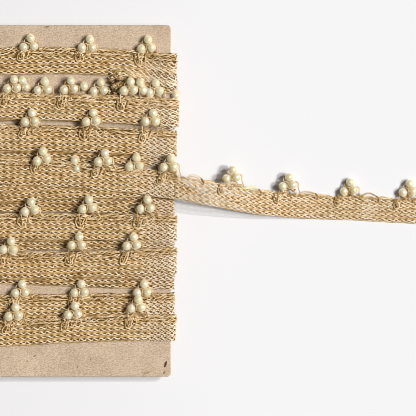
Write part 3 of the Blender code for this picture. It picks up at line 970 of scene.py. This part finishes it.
def make_loose_end(yarn, ground, fine, pearl, random):
    """Everything of the trim's loose end."""
    knit, grounds, edges, pearls, threads = Mesh(), Mesh(), Mesh(), Mesh(), Mesh()
    ends = 0.0, TAIL_LENGTH
    knit_rows(knit, lay_tail, TAIL_ROWS, *ends, FINE, random, SLANTS[1:], TAIL_STITCH, painted_tail_light)
    looped_edge(knit, lay_tail, TAIL_CHAINS, (), *ends, FINE, random)
    ground_strip(grounds, lay_tail, *ends, random, TAIL_GROUND_PAINTED_LIGHT, TAIL_GROUND_TOP, tail_closed)
    for across, height, lean, underside in TAIL_CLUSTERS:
        x = CARD_RIGHT + across
        along = float(np.interp(x, TAIL_X, TAIL_ALONG))
        centres = pearl_centres(x, height, underside + PEARL_RADIUS, lean)
        foot_at = tied_cluster(pearls, threads, lay_tail, along, centres, 1, random, TAIL_TIES)
        petal(edges, lay_tail, foot_at, TAIL_PETAL_ACROSS, random)
        tangles(threads, lay_tail, along, random, TAIL_TANGLES)
        edge_arcs(edges, lay_tail, along + TAIL_TIES.anchor_after, TAIL_LENGTH, random)
    edge_arcs(edges, lay_tail, FIRST_ARC, TAIL_LENGTH, random)
    sheet = knit.build("loose_end_knit", yarn, "trim")
    pieces = [
        grounds.build("loose_end_ground", ground, "trim"),
        edges.build("loose_end_edge_loops", fine, "trim"),
        threads.build("loose_end_pearl_threads", fine, "trim"),
        pearls.build("loose_end_pearls", pearl, "trim"),
    ]
    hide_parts("loose_end")


def new_material(name):
    """A material, its node tree, its shader and the output that holds places on the object."""
    material = bpy.data.materials.new(name)
    material.use_nodes = True
    tree = material.node_tree
    place = tree.nodes.new("ShaderNodeTexCoord").outputs["Object"]
    return material, tree, tree.nodes["Principled BSDF"], place


def set_inputs(node, values):
    for name, value in values.items():
        node.inputs[name].default_value = value


def link(tree, source, target):
    tree.links.new(source, target)


def axes_of(tree, vector):
    node = tree.nodes.new("ShaderNodeSeparateXYZ")
    link(tree, vector, node.inputs["Vector"])
    return node.outputs


def ramp(tree, fac, stops):
    node = tree.nodes.new("ShaderNodeValToRGB")
    link(tree, fac, node.inputs["Fac"])
    elements = node.color_ramp.elements
    while len(elements) < len(stops):
        elements.new(0.5)
    for element, (position, colour) in zip(elements, stops):
        element.position = position
        element.color = (*colour, 1.0)
    return node.outputs["Color"]


def noise(tree, scale, detail, vector):
    node = tree.nodes.new("ShaderNodeTexNoise")
    set_inputs(node, {"Scale": scale, "Detail": detail})
    link(tree, vector, node.inputs["Vector"])
    return node.outputs["Fac"]


def maths(tree, operation, *values):
    """One operation on numbers and on other nodes' outputs."""
    node = tree.nodes.new("ShaderNodeMath")
    node.operation = operation
    for socket, value in zip(node.inputs, values):
        if isinstance(value, (int, float)):
            socket.default_value = value
        else:
            link(tree, value, socket)
    return node.outputs["Value"]


def weighted(tree, *pairs):
    """The sum of outputs, each times its weight."""
    total = None
    for source, weight in pairs:
        term = maths(tree, "MULTIPLY", source, weight)
        total = term if total is None else maths(tree, "ADD", total, term)
    return total


def multiply_colour(tree, first, second):
    node = tree.nodes.new("ShaderNodeMix")
    node.data_type = "RGBA"
    node.blend_type = "MULTIPLY"
    set_inputs(node, {"Factor": 1.0})
    link(tree, first, node.inputs["A"])
    link(tree, second, node.inputs["B"])
    return node.outputs["Result"]


def bump(tree, shader, height, strength, distance):
    node = tree.nodes.new("ShaderNodeBump")
    set_inputs(node, {"Strength": strength, "Distance": distance})
    link(tree, height, node.inputs["Height"])
    link(tree, node.outputs["Normal"], shader.inputs["Normal"])


# Yarns: the material's name, its dark and light colours, and its roughness
YARN = ("metallic_yarn", (0.95, 0.76, 0.52), (1.0, 0.90, 0.73), 0.3)
THREAD = ("metallic_thread", (0.90, 0.69, 0.42), (1.0, 0.87, 0.64), 0.3)
# The backs' colours are darker than the yarn's, as painted shade in the gaps
SHADED_YARN_BACKS = ("yarn_backs_painted_shade", (0.62, 0.45, 0.24), (0.80, 0.61, 0.36), 0.7)
# Painted shade and light: what a shade does to the colour of a yarn, from the gaps up to its top
YARN_PAINTED_SHADES = (
    (0.06, (0.03, 0.02, 0.008)),
    (0.28, (0.20, 0.123, 0.038)),
    (0.46, (0.44, 0.318, 0.142)),
    (0.62, (0.68, 0.54, 0.325)),
    (0.76, (0.86, 0.745, 0.57)),
    (0.90, (1.0, 1.0, 1.0)),
)
# Turns of a yarn's strands in the length that its marks count by
TWIST = 11.0


def yarn_material(name, dark, light, roughness):
    """Twisted metallic yarn: strands of foil and thread, with painted light on top and painted shade in
    the gaps.
    """
    material, tree, shader, place = new_material(name)
    node = tree.nodes.new("ShaderNodeAttribute")
    node.attribute_name = "marks"
    marks = axes_of(tree, node.outputs["Vector"])
    patches = noise(tree, 1400.0, 3.0, place)
    slow = noise(tree, 90.0, 2.0, place)
    colour = ramp(tree, weighted(tree, (patches, 0.65), (slow, 0.35)), ((0.38, dark), (0.62, light)))
    painted_shade = ramp(tree, marks["Z"], YARN_PAINTED_SHADES)
    link(tree, multiply_colour(tree, colour, painted_shade), shader.inputs["Base Color"])
    set_inputs(shader, {"Metallic": 0.1, "Roughness": roughness, "Specular IOR Level": 0.3})
    twist = maths(tree, "ADD", marks["X"], maths(tree, "MULTIPLY", marks["Y"], TWIST))
    strands = maths(tree, "SINE", maths(tree, "MULTIPLY", twist, 4 * math.pi))
    relief = maths(tree, "ADD", strands, maths(tree, "MULTIPLY", patches, 1.5))
    bump(tree, shader, relief, 0.55, 0.00010)
    return material


PEARL_LACQUER = {
    "Specular IOR Level": 0.05,
    "Roughness": 0.5,
    "Subsurface Weight": 0.9,
    "Subsurface Scale": 0.006,
    "Subsurface Radius": (1.0, 0.9, 0.7),
    "Coat Weight": 1.0,
    "Coat Roughness": 0.12,
    "Coat IOR": 2.9,
    "Sheen Weight": 1.0,
    "Sheen Roughness": 0.5,
    "Sheen Tint": (1.0, 0.93, 0.74, 1.0),
}


def pearl_material():
    """Moulded pearl bead: an ivory lacquer that turns paler towards the rim."""
    material, tree, shader, place = new_material("pearl_lacquer")
    tone = noise(tree, 160.0, 2.0, place)
    body = ramp(tree, tone, ((0.35, (0.62, 0.54, 0.33)), (0.65, (0.68, 0.60, 0.405))))
    link(tree, body, shader.inputs["Base Color"])
    set_inputs(shader, PEARL_LACQUER)
    bump(tree, shader, noise(tree, 2600.0, 2.0, place), 0.08, 0.00005)
    return material


# Marks on the card: across and up in the frame, half width, half height, and tone
CARD_MARKS = (
    (0.45, -75.9, 0.62, 1.6, 0.14),
    (-0.1, -79.8, 0.6, 0.7, 0.50),
    (-8.3, -79.8, 1.8, 1.0, 0.80),
    (-60.4, -72.1, 0.55, 0.4, 0.40),
    (-60.5, -78.1, 0.35, 0.3, 0.45),
    (-63.8, -74.4, 0.3, 0.45, 0.60),
    (-72.4, -72.7, 0.4, 0.3, 0.60),
    (-51.4, -78.1, 0.3, 0.25, 0.55),
    (-36.4, -80.4, 0.3, 0.4, 0.50),
    (-19.8, -72.2, 0.3, 0.3, 0.60),
    (-54.6, 80.9, 0.9, 0.4, 0.40),
    (-34.3, -73.5, 0.35, 0.45, 0.45),
    (-40.4, -77.2, 0.3, 0.4, 0.50),
    (-44.1, -75.4, 0.4, 0.3, 0.55),
    (-20.5, 76.0, 0.3, 0.4, 0.55),
)
MARK_SLANT = -0.6


def card_mark(tree, axes, corner, pulp, mark):
    """White, but for one ragged mark in its own tone."""
    x, y, wide, tall, shade = mark
    up = maths(tree, "MULTIPLY_ADD", axes["Y"], METRE / tall, (corner.y * METRE - y) / tall)
    upright = maths(tree, "MULTIPLY_ADD", axes["X"], METRE / wide, (corner.x * METRE - x) / wide)
    across = maths(tree, "MULTIPLY_ADD", up, MARK_SLANT, upright)
    reach = maths(tree, "MULTIPLY_ADD", across, across, maths(tree, "MULTIPLY", up, up))
    rough = maths(tree, "MULTIPLY_ADD", pulp, 1.2, maths(tree, "SUBTRACT", reach, 0.6))
    return ramp(tree, rough, ((0.75, (shade, shade * 0.92, shade * 0.85)), (1.0, (1.0, 1.0, 1.0))))


def board_material(card):
    """Unprinted greyboard: pale brown pulp with short fibres, a few specks and a nicked corner."""
    material, tree, shader, place = new_material("greyboard_pulp")
    pulp = noise(tree, 2000.0, 4.0, place)
    cloud = noise(tree, 90.0, 3.0, place)
    turn = tree.nodes.new("ShaderNodeMapping")
    set_inputs(turn, {"Rotation": (0.0, 0.0, -0.5), "Scale": (0.35, 1.0, 1.0)})
    link(tree, place, turn.inputs["Vector"])
    fibres = noise(tree, 1900.0, 2.0, turn.outputs["Vector"])
    mixed = weighted(tree, (pulp, 0.55), (fibres, 0.28), (cloud, 0.17))
    colour = ramp(tree, mixed, ((0.40, (0.330, 0.245, 0.165)), (0.60, (0.575, 0.445, 0.322))))
    axes = axes_of(tree, place)
    for mark in CARD_MARKS:
        tone = card_mark(tree, axes, card.matrix_world.translation, pulp, mark)
        colour = multiply_colour(tree, colour, tone)
    link(tree, colour, shader.inputs["Base Color"])
    set_inputs(shader, {"Roughness": 0.92, "Specular IOR Level": 0.2})
    bump(tree, shader, pulp, 0.35, 0.0002)
    return material


# Camera straight above the middle of the view, and the width that it takes in, in metres
PHOTO_WIDTH = 0.1942
CAMERA_HEIGHT = 1.6
VIEW_CENTRE = (0.0202, -0.0033)
SENSOR_MM = 36.0

# Lights: name, direction towards it, strength, and degrees across
SUNS = (
    ("key", (0.84, 0.37, 1.0), 1.12, 2.0),
    ("second", (0.80, -0.04, 1.0), 1.72, 5.0),
    ("softbox", (0.68, 0.08, 1.0), 2.05, 30.0),
)
ROOM = {"Color": (1.0, 0.95, 0.88, 1.0), "Strength": 0.125}

# Floor, in metres: half its side and its level, and the paper's colour from left to right, which is
# painted light
FLOOR_HALF = 3.0
FLOOR_LEVEL = -0.00005
PAPER_PAINTED_LIGHT = ((0.1, (0.640, 0.634, 0.640)), (0.65, (0.685, 0.680, 0.688)))


def make_camera():
    data = bpy.data.cameras.new("camera")
    data.sensor_width = SENSOR_MM
    data.lens = SENSOR_MM * CAMERA_HEIGHT / PHOTO_WIDTH
    data.clip_start = 0.05
    data.clip_end = 20.0
    camera = add_object("camera", data)
    camera.location = (*VIEW_CENTRE, CAMERA_HEIGHT)
    bpy.context.scene.camera = camera


def make_sun(name, towards, strength, spread):
    data = bpy.data.lights.new(name, "SUN")
    data.energy = strength
    data.angle = math.radians(spread)
    direction = np.array(towards, dtype=float)
    direction /= np.linalg.norm(direction)
    sun = add_object(name, data)
    sun.rotation_euler = (math.acos(direction[2]), 0, math.atan2(direction[0], -direction[1]))


def make_world():
    world = bpy.data.worlds.new("studio")
    world.use_nodes = True
    set_inputs(world.node_tree.nodes["Background"], ROOM)
    bpy.context.scene.world = world


def make_floor():
    mesh = bpy.data.meshes.new("floor")
    signs = ((-1, -1), (1, -1), (1, 1), (-1, 1))
    corners = [(x * FLOOR_HALF, y * FLOOR_HALF, FLOOR_LEVEL) for x, y in signs]
    mesh.from_pydata(corners, [], [(0, 1, 2, 3)])
    material, tree, shader, place = new_material("paper_white")
    across = maths(tree, "MULTIPLY_ADD", axes_of(tree, place)["X"], 5.0, 0.5)
    link(tree, ramp(tree, across, PAPER_PAINTED_LIGHT), shader.inputs["Base Color"])
    set_inputs(shader, {"Roughness": 0.9, "Specular IOR Level": 0.1})
    mesh.materials.append(material)
    floor = add_object("floor", mesh)


def main():
    make_camera()
    make_world()
    for sun in SUNS:
        make_sun(*sun)
    make_floor()
    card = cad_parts["card"]
    card.material_slots[0].material = board_material(card)
    materials = (
        yarn_material(*YARN),
        yarn_material(*SHADED_YARN_BACKS),
        yarn_material(*THREAD),
        pearl_material(),
    )
    random = np.random.default_rng(7)
    make_wound_trim(*materials, random)
    make_loose_end(*materials, random)
    scene = bpy.context.scene
    scene.view_settings.view_transform = "Standard"
    scene.view_settings.look = "None"
    scene.cycles.filter_width = 0.9


main()
